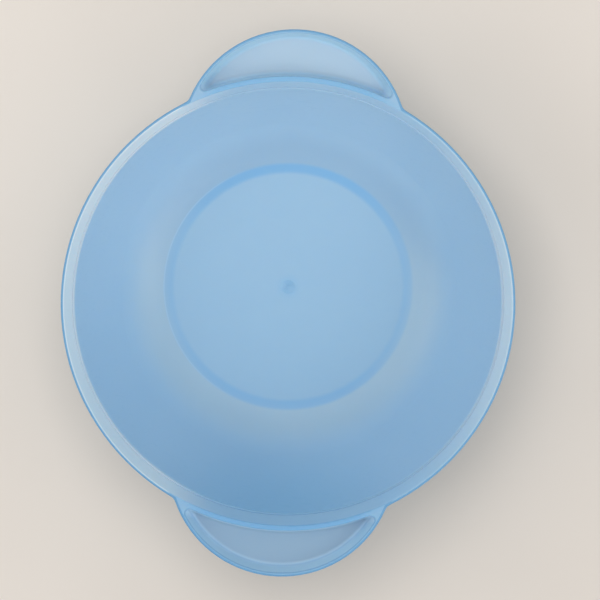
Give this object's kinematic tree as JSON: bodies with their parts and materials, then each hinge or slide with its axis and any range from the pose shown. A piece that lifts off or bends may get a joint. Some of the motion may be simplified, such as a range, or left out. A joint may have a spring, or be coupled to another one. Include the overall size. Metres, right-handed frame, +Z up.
{
  "type": "suction bowl",
  "caption": "Round baby bowl with two scooped ears on a soft suction ring with a flared sealing lip and a pull-up release tab.",
  "frame": {"origin": "on the table, at the bowl's axis, in the plane that the sealing lip rests on", "axes": "+Z up out of the bowl's mouth, the ears along +Y and -Y, the release tab under the -Y ear"},
  "size_m": [0.1396, 0.1696, 0.0545],
  "materials": {
    "blue_polypropylene": "satin, milky translucent",
    "milky_elastomer": "matt, milky translucent"
  },
  "bodies": {
    "bowl": {"bowl": "blue_polypropylene"},
    "ring": {"suction_ring": "milky_elastomer"},
    "lip": {"sealing_lip": "milky_elastomer"},
    "tab": {"release_tab": "milky_elastomer"}
  },
  "joints": [
    {"name": "lip_press", "type": "slide", "parent": "lip", "child": "ring", "axis": [0, 0, -1], "range_m": [0, 0.0018], "stiffness_N_per_m": 1500, "springref_m": -0.0005, "deforming": ["sealing_lip"]},
    {"name": "bowl_lift_off", "type": "slide", "parent": "ring", "child": "bowl", "axis": [0, 0, 1], "range_m": [0, 0.012]},
    {"name": "tab_lift", "type": "hinge", "parent": "lip", "child": "tab", "pos_m": [0, -0.04862, 0.001], "axis": [-1, 0, 0], "range_deg": [0, 60], "stiffness_Nm_per_rad": 0.004}
  ]
}
